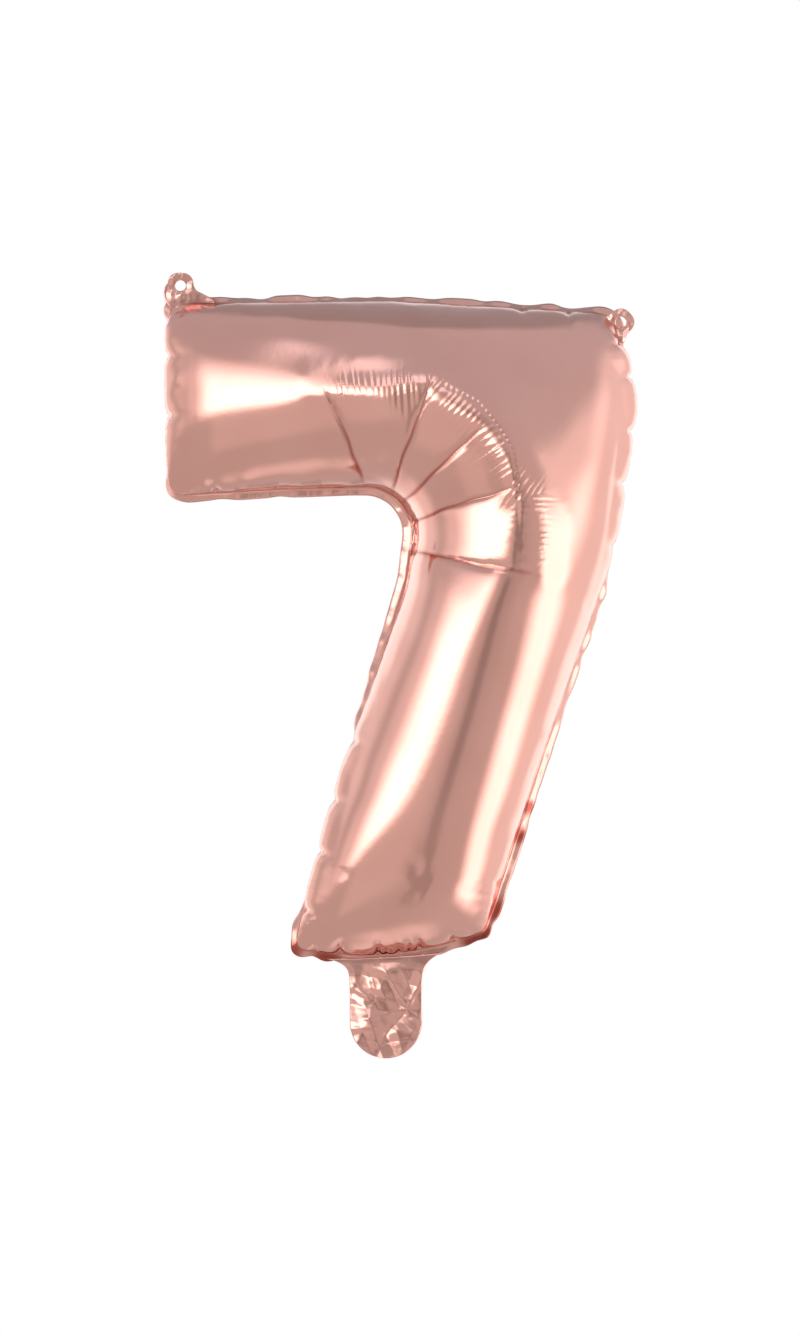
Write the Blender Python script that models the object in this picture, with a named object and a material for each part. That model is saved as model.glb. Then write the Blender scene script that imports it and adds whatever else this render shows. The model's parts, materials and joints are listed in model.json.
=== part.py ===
"""Foil number balloon, a filled 7 with two hanging tabs and a valve tail.

Two film panels are welded together round their edges by a flat flange. The front faces -Y and
the top is +Z. The origin is the centre of the left tab's hole, on the plane between the panels.
"""
import math

import bmesh
import bpy
import numpy as np

MM = 0.001

# films and the flat weld flange round the balloon
FILM = 0.4                      # thickness of each modelled film
GAP = 0.3                       # clearance between neighbouring films
FLANGE = 4.5                    # width of the flat flange

# outline of the figure, at the flange's outer edge, as (x, z) corners
BAR_TOP_LEFT = (-9.0, -6.5)
BAR_BOTTOM_LEFT = (-9.0, -112.0)
CROOK = (118.0, -107.5)
CROOK_RADIUS = 18.0
LEG_BOTTOM_LEFT = (53.0, -345.0)
LEG_BOTTOM_RIGHT = (160.0, -336.0)
SHOULDER = (231.0, -88.0)
SHOULDER_RADIUS = 90.0
BAR_TOP_BEND = (172.0, -6.5)    # the top edge falls away from here to the right
BAR_TOP_RADIUS = 120.0
CORNER_TOP = (212.0, -13.5)     # the top right corner is cut square to its hanging tab
CORNER_SIDE = (229.0, -31.5)
CORNER_RADIUS = 3.0
BOTTOM_SAG = 7.0                # how far the bottom edge bows down between its corners
BOW_POWER = 4.0                 # how fast the rows above the bottom edge straighten out

# depth of the inflated body, from the weld plane to the front of the film
CROOK_DEPTH = 52.0
END_POWER = 0.4                 # how the depth grows away from the two ends

# how many film rows each stretch is divided into
BAR_ROWS = 17
CROOK_STRETCHES = (6, 3, 7)     # over the bar, across the cut corner, and down the side
LEG_ROWS = 22
HEART_ROW = BAR_ROWS + sum(CROOK_STRETCHES) // 2
ACROSS = 16
END_CROWDING = 1.8              # rows crowd towards each end, where the depth grows fast

# hanging tabs
TAB_RADIUS = 7.0
TAB_HOLE_RADIUS = 2.75
TAB_ROOT_GAP = 1.1
TAB_POINTS = 24
RIGHT_TAB_REACH = 4.6           # from the cut corner's edge out to the hole's centre
TAB_HINGE_GAP = 0.25            # the tabs bend this far outside their roots

# valve tail, which hangs from the middle of the bottom edge
TAIL_X = 104.8
TAIL_WIDTH = 36.7
TAIL_ROOT_WIDTH = 54.0
TAIL_BOTTOM = -394.0
TAIL_SHOULDER = 7.0             # height of the flare at the tail's root
TAIL_ROOT_EDGE = 0.6            # height of the straight edge above the flare
TAIL_ROOT_GAP = 1.9
TAIL_HINGE_DROP = 0.3           # the tail's top edge lies this far under its fold line
VALVE_WIDTH = 24.0
VALVE_END_INSET = 14.0
LEAF_WIDTH = 22.0
LEAF_LENGTH = 36.0
LEAF_RISE = 2.5                 # clearance from the flange's inner edge up to the leaves

ROSE_FOIL = (0.72, 0.42, 0.36)
CLEAR_FILM = (0.86, 0.84, 0.82)


def clear_scene():
    for thing in list(bpy.data.objects):
        bpy.data.objects.remove(thing)


def material(name, colour, roughness, metallic):
    made = bpy.data.materials.new(name)
    made.use_nodes = True
    shader = made.node_tree.nodes["Principled BSDF"]
    shader.inputs["Base Color"].default_value = (*colour, 1.0)
    shader.inputs["Roughness"].default_value = roughness
    shader.inputs["Metallic"].default_value = metallic
    return made


def arc(centre, radius, start, end, points):
    """Points round a circle, from one angle to another, both in degrees."""
    turn = np.radians(np.linspace(start, end, points))
    return np.array(centre) + radius * np.stack([np.cos(turn), np.sin(turn)], axis=1)


def rounded_corner(before, corner, after, radius, points=7):
    """The arc that rounds one corner of an outline."""
    before, corner, after = (np.array(p, float) for p in (before, corner, after))
    into = (before - corner) / np.linalg.norm(before - corner)
    out = (after - corner) / np.linalg.norm(after - corner)
    half = math.acos(float(np.dot(into, out))) / 2
    middle = (into + out) / np.linalg.norm(into + out)
    centre = corner + middle * radius / math.sin(half)
    first = corner + into * radius / math.tan(half) - centre
    last = corner + out * radius / math.tan(half) - centre
    start = math.atan2(first[1], first[0])
    sweep = math.atan2(last[1], last[0]) - start
    sweep = (sweep + math.pi) % (2 * math.pi) - math.pi
    turn = start + sweep * np.linspace(0.0, 1.0, points)
    return centre + radius * np.stack([np.cos(turn), np.sin(turn)], axis=1)


def rounded_path(first, corners, last):
    """A path through rounded corners, each given as a point and a radius."""
    stops = [first] + [corner for corner, _ in corners] + [last]
    pieces = [np.array([first], float)]
    for index, (corner, radius) in enumerate(corners):
        pieces.append(rounded_corner(stops[index], corner, stops[index + 2], radius))
    pieces.append(np.array([last], float))
    return np.vstack(pieces)


def lengths_along(path):
    return np.concatenate([[0.0], np.cumsum(np.linalg.norm(np.diff(path, axis=0), axis=1))])


def points_at(path, distances):
    along = lengths_along(path)
    return np.stack([np.interp(distances, along, path[:, axis]) for axis in (0, 1)], axis=1)


def nearest_distance(path, point):
    """How far along a path its closest point to a given point lies."""
    total = lengths_along(path)[-1]
    distances = np.linspace(0.0, total, 2000)
    gaps = np.linalg.norm(points_at(path, distances) - point, axis=1)
    return distances[int(np.argmin(gaps))]


def row_distances(stretches):
    """Row places along a path made of stretches, with no place repeated."""
    rows = [stretches[0]]
    for stretch in stretches[1:]:
        rows.append(stretch[1:])
    return np.concatenate(rows)


def crowded(start, end, rows):
    """Rows that crowd towards the start, after one flange's width of flat film."""
    step = math.copysign(FLANGE, end - start)
    share = np.linspace(0.0, 1.0, rows) ** END_CROWDING
    return np.concatenate([[start], start + step + share * (end - start - step)])


def turn_places(stops):
    """Row places round the crook, with one on every stop."""
    places = [np.array([stops[0]])]
    for start, end, rows in zip(stops, stops[1:], CROOK_STRETCHES):
        places.append(np.linspace(start, end, rows + 1)[1:])
    return np.concatenate(places)


def film_rows():
    """The inner and outer ends of every row of film, from the bar's end to the leg's end."""
    inner = rounded_path(BAR_BOTTOM_LEFT, [(CROOK, CROOK_RADIUS)], LEG_BOTTOM_LEFT)
    outer_corners = [
        (BAR_TOP_BEND, BAR_TOP_RADIUS),
        (CORNER_TOP, CORNER_RADIUS),
        (CORNER_SIDE, CORNER_RADIUS),
        (SHOULDER, SHOULDER_RADIUS),
    ]
    outer = rounded_path(BAR_TOP_LEFT, outer_corners, LEG_BOTTOM_RIGHT)
    bar_width = BAR_TOP_LEFT[1] - BAR_BOTTOM_LEFT[1]
    inner_start, inner_end = lengths_along(inner)[[1, -2]]
    over_start = points_at(inner, [inner_start])[0] + (0.0, bar_width)
    leg = np.array(LEG_BOTTOM_LEFT) - points_at(inner, [inner_end])[0]
    across = np.array((-leg[1], leg[0])) / np.linalg.norm(leg)
    over_end = points_at(inner, [inner_end])[0] + across * bar_width
    outer_stops = [nearest_distance(outer, p) for p in (over_start, CORNER_TOP, CORNER_SIDE, over_end)]
    inner_shares = np.cumsum((0,) + CROOK_STRETCHES) / sum(CROOK_STRETCHES)
    inner_stops = inner_start + inner_shares * (inner_end - inner_start)
    stations = []
    for path, stops in ((inner, inner_stops), (outer, outer_stops)):
        bar = crowded(0.0, stops[0], BAR_ROWS)
        down = crowded(lengths_along(path)[-1], stops[-1], LEG_ROWS)[::-1]
        stations.append(points_at(path, row_distances([bar, turn_places(stops), down])))
    return stations


def middle_distances(rows):
    """How far along the body's middle line each row lies."""
    return lengths_along((rows[0] + rows[1]) / 2)


def end_depth(row, along):
    """The body's depth at one row, from how far that row lies from the nearer end."""
    first, last = along[1], along[-2]
    heart = along[HEART_ROW]
    from_bar = max(0.0, along[row] - first) / (heart - first)
    from_leg = max(0.0, last - along[row]) / (last - heart)
    return CROOK_DEPTH * min(1.0, from_bar, from_leg) ** END_POWER


def bottom_bow(row, along):
    """How much of the bottom edge's bow one row takes, all of it at the leg's end."""
    heart = along[HEART_ROW]
    return max(0.0, (along[row] - heart) / (along[-1] - heart)) ** BOW_POWER


def bottom_edge(x):
    """Height of the flange's bottom edge at a given x."""
    share = (x - LEG_BOTTOM_LEFT[0]) / (LEG_BOTTOM_RIGHT[0] - LEG_BOTTOM_LEFT[0])
    line = LEG_BOTTOM_LEFT[1] + share * (LEG_BOTTOM_RIGHT[1] - LEG_BOTTOM_LEFT[1])
    return line - 4 * BOTTOM_SAG * share * (1 - share)


def film_panel(name, side, finish):
    """One welded film panel: a domed figure with a flat flange all round it."""
    rows = film_rows()
    along = middle_distances(rows)
    lift = side * (GAP + FILM) / 2
    mesh = bmesh.new()
    grid = []
    for row in range(len(along)):
        start, end = rows[0][row], rows[1][row]
        width = float(np.linalg.norm(end - start))
        swell = (1 - np.cos(np.linspace(0.0, math.pi, ACROSS))) / 2
        shares = np.concatenate([[0.0], (FLANGE + swell * (width - 2 * FLANGE)) / width, [1.0]])
        arch = np.concatenate([[0.0], 2 * np.sqrt(swell * (1 - swell)), [0.0]])
        depth = end_depth(row, along)
        sag = 4 * BOTTOM_SAG * bottom_bow(row, along)
        line = []
        for share, bow in zip(shares, arch):
            x, z = start + share * (end - start)
            z -= sag * share * (1 - share)
            y = lift + side * bow * depth
            line.append(mesh.verts.new((x * MM, y * MM, z * MM)))
        grid.append(line)
    for low, high in zip(grid, grid[1:]):
        for left in range(len(low) - 1):
            corners = (low[left], low[left + 1], high[left + 1], high[left])
            mesh.faces.new(corners if side > 0 else corners[::-1])
    return finished(name, mesh, FILM, finish)


def finished(name, mesh, thickness, finish):
    """A sheet turned into an object, with its thickness grown evenly to both sides."""
    bmesh.ops.triangulate(mesh, faces=mesh.faces[:])
    data = bpy.data.meshes.new(name)
    mesh.to_mesh(data)
    mesh.free()
    data.materials.append(finish)
    data.shade_smooth()
    thing = bpy.data.objects.new(name, data)
    bpy.context.scene.collection.objects.link(thing)
    wall = thing.modifiers.new("wall", "SOLIDIFY")
    wall.solidify_mode = "NON_MANIFOLD"
    wall.nonmanifold_thickness_mode = "CONSTRAINTS"
    wall.thickness = thickness * MM
    wall.offset = 0.0
    return thing


def pivot(name, x, z):
    """An empty on a joint's axis, which carries the pieces that turn about it."""
    empty = bpy.data.objects.new(name, None)
    empty.location = (x * MM, 0.0, z * MM)
    bpy.context.scene.collection.objects.link(empty)
    return empty


def hang(piece, axis):
    """Put a piece under its pivot and leave it where it is."""
    piece.parent = axis
    piece.location = -axis.location


def flat_film(name, outline, hole, middle_y, thickness, finish):
    """A flat film cut to an outline, with an optional hole, at a given distance in Y."""
    mesh = bmesh.new()
    edges = []
    for loop in (outline, hole):
        if loop is None:
            continue
        ring = [mesh.verts.new((x * MM, middle_y * MM, z * MM)) for x, z in loop]
        for index, vertex in enumerate(ring):
            edges.append(mesh.edges.new((ring[index - 1], vertex)))
    bmesh.ops.triangle_fill(mesh, edges=edges, use_beauty=True, normal=(0.0, -1.0, 0.0))
    return finished(name, mesh, thickness, finish)


def tab_outline(root, flare_left, flare_right):
    """A round tab over a flared neck, about its hole, with its root straight below."""
    disc = arc((0.0, 0.0), TAB_RADIUS, -28.0, 208.0, TAB_POINTS)
    left = [(-(TAB_RADIUS + flare_left) / 2, -root + 0.8), (-flare_left, -root)]
    right = [(flare_right, -root), ((TAB_RADIUS + flare_right) / 2, -root + 0.8)]
    return np.vstack([disc, left, right])


def hanging_tab(name, centre, outward, root, flare_left, flare_right, finish):
    """Both films of a tab welded into one thickness, which bends where it leaves the flange."""
    turn = math.radians(outward - 90.0)
    right = np.array((math.cos(turn), math.sin(turn)))
    up = np.array((-math.sin(turn), math.cos(turn)))
    outline = tab_outline(root, flare_left, flare_right) @ np.array([right, up]) + centre
    hole = arc(centre, TAB_HOLE_RADIUS, 0.0, 360.0, TAB_POINTS + 1)[:-1]
    tab = flat_film(name, outline, hole, 0.0, 2 * FILM + GAP, finish)
    bend = np.array(centre) - up * (root + TAB_HINGE_GAP)
    hang(tab, pivot(name + "_bend", bend[0], bend[1]))


def tail_top(x):
    return bottom_edge(x) - TAIL_ROOT_GAP


def tail_flare(side):
    """One concave shoulder, from the straight strip up to the wide root."""
    reach = (TAIL_ROOT_WIDTH - TAIL_WIDTH) / 2
    outer_x = TAIL_X + side * TAIL_ROOT_WIDTH / 2
    drop = tail_top(outer_x) - TAIL_ROOT_EDGE
    curve = arc((0.0, 0.0), 1.0, 180.0, 90.0, 6)
    x = outer_x + side * reach * curve[:, 0]
    z = drop - TAIL_SHOULDER * (1 - curve[:, 1])
    return np.stack([x, z], axis=1)


def tail_outline():
    """The tail's foil: a straight strip with a flared root and a round end."""
    half = TAIL_WIDTH / 2
    end = arc((TAIL_X, TAIL_BOTTOM + half), half, 180.0, 360.0, TAB_POINTS)
    top = []
    for x in np.linspace(TAIL_X + TAIL_ROOT_WIDTH / 2, TAIL_X - TAIL_ROOT_WIDTH / 2, 9):
        top.append((x, tail_top(x)))
    return np.vstack([end, tail_flare(1), top, tail_flare(-1)[::-1]])


def valve_outline():
    """The clear film in the tail, open at both ends and narrower than the foil."""
    half = VALVE_WIDTH / 2
    top = tail_top(TAIL_X) - GAP
    bottom = TAIL_BOTTOM + VALVE_END_INSET
    return [
        (TAIL_X - half, bottom),
        (TAIL_X + half, bottom),
        (TAIL_X + half, top),
        (TAIL_X - half, top),
    ]


def leaf_root():
    """Height of the leaves' lower edge, just above the weld."""
    return bottom_edge(TAIL_X) + FLANGE + LEAF_RISE


def leaf_outline():
    """The clear film inside the body, narrowing upward."""
    root = leaf_root()
    half = LEAF_WIDTH / 2
    return [
        (TAIL_X - half, root),
        (TAIL_X + half, root),
        (TAIL_X + half * 0.85, root + LEAF_LENGTH),
        (TAIL_X - half * 0.85, root + LEAF_LENGTH),
    ]


def corner_frame():
    """The place and the outward direction of the tab on the cut top right corner."""
    top = np.array(CORNER_TOP)
    side = np.array(CORNER_SIDE)
    edge = (side - top) / np.linalg.norm(side - top)
    outward = np.array((-edge[1], edge[0]))
    centre = (top + side) / 2 + outward * (RIGHT_TAB_REACH + TAB_ROOT_GAP)
    return centre, math.degrees(math.atan2(outward[1], outward[0]))


def build():
    clear_scene()
    foil = material("rose_foil", ROSE_FOIL, 0.18, 1.0)
    clear = material("clear_film", CLEAR_FILM, 0.25, 0.0)

    film_panel("front_panel", -1, foil)
    film_panel("back_panel", 1, foil)

    left_root = -BAR_TOP_LEFT[1] - TAB_ROOT_GAP
    hanging_tab("left_hanging_tab", (0.0, 0.0), 90.0, left_root, 7.6, 15.0, foil)
    centre, outward = corner_frame()
    hanging_tab("right_hanging_tab", centre, outward, RIGHT_TAB_REACH, 8.5, 8.5, foil)

    fold = pivot("tail_fold_line", TAIL_X, tail_top(TAIL_X) + TAIL_HINGE_DROP)
    valve_root = pivot("inner_valve_root", TAIL_X, leaf_root())
    film_step = FILM + GAP
    for name, outline, place, finish, axis in (
        ("tail_front_ply", tail_outline(), -1.5, foil, fold),
        ("tail_valve_front_film", valve_outline(), -0.5, clear, fold),
        ("tail_valve_back_film", valve_outline(), 0.5, clear, fold),
        ("tail_back_ply", tail_outline(), 1.5, foil, fold),
        ("inner_valve_front_leaf", leaf_outline(), -0.5, clear, valve_root),
        ("inner_valve_back_leaf", leaf_outline(), 0.5, clear, valve_root),
    ):
        hang(flat_film(name, outline, None, place * film_step, FILM, finish), axis)


build()
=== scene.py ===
import json
import math

import bmesh
import bpy
import numpy as np
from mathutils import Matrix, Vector
from mathutils.geometry import delaunay_2d_cdt

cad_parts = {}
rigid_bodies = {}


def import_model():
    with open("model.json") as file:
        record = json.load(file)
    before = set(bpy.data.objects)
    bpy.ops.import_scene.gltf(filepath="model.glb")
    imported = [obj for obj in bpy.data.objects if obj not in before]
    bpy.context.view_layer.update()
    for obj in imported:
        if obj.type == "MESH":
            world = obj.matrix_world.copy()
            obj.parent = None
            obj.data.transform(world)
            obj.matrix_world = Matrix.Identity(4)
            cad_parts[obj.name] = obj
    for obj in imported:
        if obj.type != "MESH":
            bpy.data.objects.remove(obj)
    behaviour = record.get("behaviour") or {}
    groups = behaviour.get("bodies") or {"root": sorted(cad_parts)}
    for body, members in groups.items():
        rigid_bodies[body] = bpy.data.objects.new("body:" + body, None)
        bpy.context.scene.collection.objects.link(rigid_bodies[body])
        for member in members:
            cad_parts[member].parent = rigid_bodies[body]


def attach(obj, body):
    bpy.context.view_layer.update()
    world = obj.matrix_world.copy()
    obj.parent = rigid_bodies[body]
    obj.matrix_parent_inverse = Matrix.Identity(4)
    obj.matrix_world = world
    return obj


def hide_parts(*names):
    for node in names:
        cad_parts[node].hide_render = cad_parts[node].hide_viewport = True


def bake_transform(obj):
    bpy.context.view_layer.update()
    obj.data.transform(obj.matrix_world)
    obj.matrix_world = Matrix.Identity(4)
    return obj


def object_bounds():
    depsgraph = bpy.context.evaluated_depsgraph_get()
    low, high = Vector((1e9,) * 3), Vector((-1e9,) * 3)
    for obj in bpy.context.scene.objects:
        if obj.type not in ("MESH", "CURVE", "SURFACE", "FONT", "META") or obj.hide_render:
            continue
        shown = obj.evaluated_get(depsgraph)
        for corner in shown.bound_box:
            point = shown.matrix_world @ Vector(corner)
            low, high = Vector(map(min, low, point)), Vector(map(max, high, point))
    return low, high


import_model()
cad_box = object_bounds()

MM = 0.001
for start_object in [o for o in bpy.data.objects if o.name in ("Cube", "Light", "Camera")]:
    bpy.data.objects.remove(start_object)

# ---------------------------------------------------------------------------------------------
# Camera and studio. The balloon hangs by its tab in a white studio, with a wide soft box to the
# left of the camera and a tall one to its right. The foil shows little but what stands round it.
# ---------------------------------------------------------------------------------------------
scene = bpy.context.scene
scene.view_settings.view_transform = "Standard"
scene.view_settings.look = "None"

FRAME_TALL = 681 * MM
LENS = 110.0
SENSOR = 36.0
AIM = Vector((112 * MM, 0, -194.7 * MM))

lens = bpy.data.cameras.new("camera")
lens.lens = LENS
lens.sensor_width = SENSOR
lens.clip_end = 50
camera = bpy.data.objects.new("camera", lens)
camera.location = AIM - Vector((0, FRAME_TALL * LENS / SENSOR, 0))
camera.rotation_euler = (math.radians(90), 0, 0)
scene.collection.objects.link(camera)
scene.camera = camera


class Wire:
    """One output socket, so that shader values can be written as plain sums."""

    def __init__(self, tree, socket):
        self.tree = tree
        self.socket = socket

    def math(self, operation, other=None):
        values = {0: self} if other is None else {0: self, 1: other}
        return self.tree.node("ShaderNodeMath", values, operation=operation)

    def __add__(self, other):
        return self.math("ADD", other)

    def __radd__(self, other):
        return self.math("ADD", other)

    def __sub__(self, other):
        return self.math("SUBTRACT", other)

    def __rsub__(self, other):
        return self.tree.node("ShaderNodeMath", {0: other, 1: self}, operation="SUBTRACT")

    def __mul__(self, other):
        return self.math("MULTIPLY", other)

    def __rmul__(self, other):
        return self.math("MULTIPLY", other)

    def __truediv__(self, other):
        return self.math("DIVIDE", other)

    def output(self, name):
        """Another output of the same node."""
        return Wire(self.tree, self.socket.node.outputs[name])

    def band(self, start, full, fade, end):
        """1 between full and fade, 0 outside start and end, soft in between."""
        return self.smooth(start, full) * (1 - self.smooth(fade, end))

    def smooth(self, low, high):
        """0 below low, 1 above high and a soft step between them."""
        sockets = {"Value": self, "From Min": low, "From Max": high}
        return self.tree.node("ShaderNodeMapRange", sockets, interpolation_type="SMOOTHSTEP")


class Tree:
    """A node tree whose nodes are made by one method."""

    def __init__(self, owner):
        if isinstance(owner, bpy.types.NodeTree):
            self.tree = owner
        else:
            owner.use_nodes = True
            self.tree = owner.node_tree

    def node(self, kind, sockets=None, output=0, **settings):
        """A node with its settings and the values or links of its sockets; its output is given."""
        made = self.tree.nodes.new(kind)
        for name, value in settings.items():
            setattr(made, name, value)
        for name, value in (sockets or {}).items():
            if isinstance(value, Wire):
                self.tree.links.new(value.socket, made.inputs[name])
            else:
                made.inputs[name].default_value = value
        return Wire(self, made.outputs[output]) if output is not None else None

    def mix(self, factor, low, high):
        """One colour turning into another."""
        sockets = {0: factor, 6: low, 7: high}
        return self.node("ShaderNodeMix", sockets, output=2, data_type="RGBA")


world = bpy.data.worlds.new("studio")
scene.world = world
sky = Tree(world)
towards = sky.node("ShaderNodeTexCoord", output="Generated")
across = sky.node("ShaderNodeSeparateXYZ", {0: towards}, output="X")
azimuth = across.math("ARCTAN2", 0 - across.output("Y")) * (180 / math.pi)
rise = across.output("Z").math("ARCSINE") * (180 / math.pi)
turned_away = azimuth.math("ABSOLUTE")

# a wide soft box on the left, with a fainter wing beyond it, some of its light below, and a
# smaller box high above the camera; each reaches between degrees to the side and above
left_box = azimuth.band(-74, -42, -27, -10) * rise.band(-10, -3, 2, 26)
left_wing = azimuth.band(-96, -76, -60, -40) * rise.band(-9, -2, 6, 26)
left_foot = azimuth.band(-54, -42, -14, 0) * rise.band(-46, -34, -6, 16)
high_box = azimuth.band(-28, -22, -4, 10) * rise.band(16, 26, 42, 58)
# a tall soft box on the right, brightest in its lower half
right_box = azimuth.band(38, 60, 72, 96) * rise.band(-58, -44, -10, 4)
right_top = azimuth.band(50, 59, 78, 102) * rise.band(-12, -4, 12, 26)

# the white room: brightest behind and to the right, dim where the camera stands
right_wall = azimuth.smooth(66, 90) * rise.band(-60, -20, 16, 42)
left_wall = (1 - azimuth.smooth(-112, -88)) * rise.band(-60, -35, 8, 36)
table = (1 - rise.smooth(-87, -72)) * 0.8
room = 0.64 + 0.40 * right_wall.math("MAXIMUM", left_wall).math("MAXIMUM", table)
room = room + 0.05 * azimuth.band(-5, 55, 90, 140)
ceiling = turned_away.smooth(95, 150) * rise.smooth(28, 48)
room = room - ceiling * 0.20

# two narrower boxes and a dark doorway behind, for whoever walks round the balloon
back_boxes = turned_away.band(118, 132, 144, 158) * rise.band(-34, -18, 26, 46)
doorway = turned_away.smooth(158, 170) * rise.band(-60, -40, 16, 24)
room = room + back_boxes * 0.5 - doorway * 0.30

# the camera and whoever stands at it, dark against the room
camera_dark = azimuth.band(-4, 1, 5, 11) * rise.band(-62, -45, -4, 8)
camera_body = azimuth.band(-14, 0, 14, 30) * rise.band(-24, -8, 10, 26)
room = room - camera_dark * 0.18 - camera_body * 0.10

# all of it together, and plain white where the camera looks past the balloon
light = room + left_box * 2.2 + left_wing * 0.36 + left_foot * 0.12 + high_box * 0.8
light = light + right_box * 1.6 + right_top * 0.42
background = sky.tree.nodes["Background"]
tint = sky.mix(rise.smooth(-10, 50), (1.0, 0.985, 0.97, 1), (0.93, 0.99, 1.06, 1))
sky.tree.links.new(tint.socket, background.inputs["Color"])
sky.tree.links.new(light.socket, background.inputs["Strength"])
seen = sky.node("ShaderNodeLightPath", output="Is Camera Ray")
white = sky.node("ShaderNodeBackground", {"Color": (1, 1, 1, 1), "Strength": 1.0})
chosen = sky.node("ShaderNodeMixShader", {0: seen, 1: Wire(sky, background.outputs[0]), 2: white})
sky.tree.links.new(chosen.socket, sky.tree.nodes["World Output"].inputs["Surface"])

# a white light table far below, too bright to hold a shadow
FLOOR_DROP = 0.10
floor_mesh = bmesh.new()
bmesh.ops.create_circle(floor_mesh, cap_ends=True, segments=96, radius=6.0)
for corner in floor_mesh.verts:
    corner.co += Vector((AIM.x, 0, cad_box[0].z - FLOOR_DROP))
floor_data = bpy.data.meshes.new("floor")
floor_mesh.to_mesh(floor_data)
floor_mesh.free()
floor = bpy.data.objects.new("floor", floor_data)
floor.visible_glossy = False
scene.collection.objects.link(floor)
glow = bpy.data.materials.new("light_table")
floor_tree = Tree(glow)
table_top = floor_tree.tree.nodes["Principled BSDF"]
table_top.inputs["Base Color"].default_value = (0.0, 0.0, 0.0, 1)
table_top.inputs["Specular IOR Level"].default_value = 0.0
table_top.inputs["Emission Color"].default_value = (1.0, 1.0, 1.0, 1)
table_top.inputs["Emission Strength"].default_value = 1.0
floor_data.materials.append(glow)

# ---------------------------------------------------------------------------------------------
# Foil panels: two films of metallised polyester cut to the same flat shape, heat-sealed along
# their edges, then blown up. The film can't stretch, so it puckers along the seams and folds
# sharply on the inside of the crook, and a simulation of the two flat films finds that shape.
# ---------------------------------------------------------------------------------------------
FLANGE = 4.5
# the film's points stand this far apart: over the ripples, in the creases, by the seam, elsewhere
RIPPLE_SPACING = 2.6
CREASE_SPACING = 3.6
SEAM_SPACING = 5.0
OPEN_SPACING = 8.5
SEAM_BAND = 12.0
# the films are blown up at ten times life size, which suits the solver's own tolerances
SIM_SCALE = 10.0
SIM_FRAMES = 32

# the flat cut's corners, clockwise from the bar's top left: x, z and rounding, in millimetres
CUT = [
    (-9, 25.5, 8), (105, 17, 200), (219.5, -15.5, 10), (235.5, -62.5, 30), (231, -150, 150),
    (206, -253, 250), (173, -350.5, 8), (125.5, -385, 95), (71.5, -367.5, 8),
    (68.5, -267.5, 250), (76, -177, 150), (75, -127, 20), (8.5, -97, 200), (-35.5, -78, 8),
]
# where the same corners lie on the filled balloon's weld line
FILLED = [
    (-5.5, -9.5, 3), (104.5, -8.5, 300), (220.5, -14.5, 9), (230, -60, 40), (218.5, -142, 200),
    (184.5, -239.5, 300), (155, -330, 4), (107, -343, 150), (57.5, -338.5, 4), (84.5, -247, 300),
    (115.5, -150, 60), (121, -101, 24), (40.5, -104, 300), (-5, -107, 3),
]
# on the flat cut: the ridge over the crook, where it ripples, and the creased part inside it
FLAT_RIDGE = [(62, -44), (92, -45), (121, -50), (142, -79), (160, -106), (175, -128), (178, -158)]
CROOK_HEART = (106, -103)
CROOK_REACH = 56


def rounded_outline(corners):
    """A closed outline with every corner rounded by an arc."""
    points = []
    for index, (x, z, radius) in enumerate(corners):
        corner = np.array((x, z))
        before = np.array(corners[index - 1][:2])
        after = np.array(corners[(index + 1) % len(corners)][:2])
        into = (before - corner) / np.linalg.norm(before - corner)
        out = (after - corner) / np.linalg.norm(after - corner)
        half = math.acos(np.clip(into @ out, -1, 1)) / 2
        centre = corner + (into + out) / np.linalg.norm(into + out) * radius / math.sin(half)
        first = corner + into * radius / math.tan(half) - centre
        last = corner + out * radius / math.tan(half) - centre
        start = math.atan2(first[1], first[0])
        sweep = (math.atan2(last[1], last[0]) - start + math.pi) % (2 * math.pi) - math.pi
        for share in np.linspace(0, 1, max(3, int(abs(sweep) * radius))):
            turn = start + sweep * share
            points.append(centre + radius * np.array((math.cos(turn), math.sin(turn))))
    return np.array(points)


def run_along(path):
    """How far along a path each of its points lies."""
    return np.concatenate([[0], np.cumsum(np.linalg.norm(np.diff(path, axis=0), axis=1))])


def spaced(outline, step):
    """The same closed outline with evenly spaced points."""
    loop = np.vstack([outline, outline[:1]])
    along = run_along(loop)
    places = np.linspace(0, along[-1], round(along[-1] / step), endpoint=False)
    return np.stack([np.interp(places, along, loop[:, k]) for k in (0, 1)], axis=1)


def is_inside(points, outline):
    """Which points lie inside a closed outline."""
    inside = np.zeros(len(points), bool)
    for (x0, z0), (x1, z1) in zip(np.roll(outline, 1, axis=0), outline):
        if z0 == z1:
            continue
        crosses = (z0 > points[:, 1]) != (z1 > points[:, 1])
        inside ^= crosses & (points[:, 0] < (x1 - x0) * (points[:, 1] - z0) / (z1 - z0) + x0)
    return inside


def distance_to(points, outline):
    """How far each point lies from the nearest of the outline's points."""
    nearest = np.full(len(points), np.inf)
    for start in range(0, len(outline), 100):
        part = outline[start:start + 100]
        gaps = np.linalg.norm(points[:, None] - part[None], axis=2)
        nearest = np.minimum(nearest, gaps.min(axis=1))
    return nearest


def lattice(outline, step):
    """Points of a triangular lattice that lie inside the outline."""
    low, high = outline.min(axis=0), outline.max(axis=0)
    rows = []
    for index, z in enumerate(np.arange(low[1], high[1], step * math.sqrt(3) / 2)):
        x = np.arange(low[0] + (index % 2) * step / 2, high[0], step)
        rows.append(np.stack([x, np.full(len(x), z)], axis=1))
    points = np.vstack(rows)
    return points[is_inside(points, outline)]


def path_points(path, step):
    """Evenly spaced points along an open path."""
    path = np.array(path, float)
    at = run_along(path)
    places = np.arange(0, at[-1], step)
    return np.stack([np.interp(places, at, path[:, k]) for k in (0, 1)], axis=1)


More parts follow.
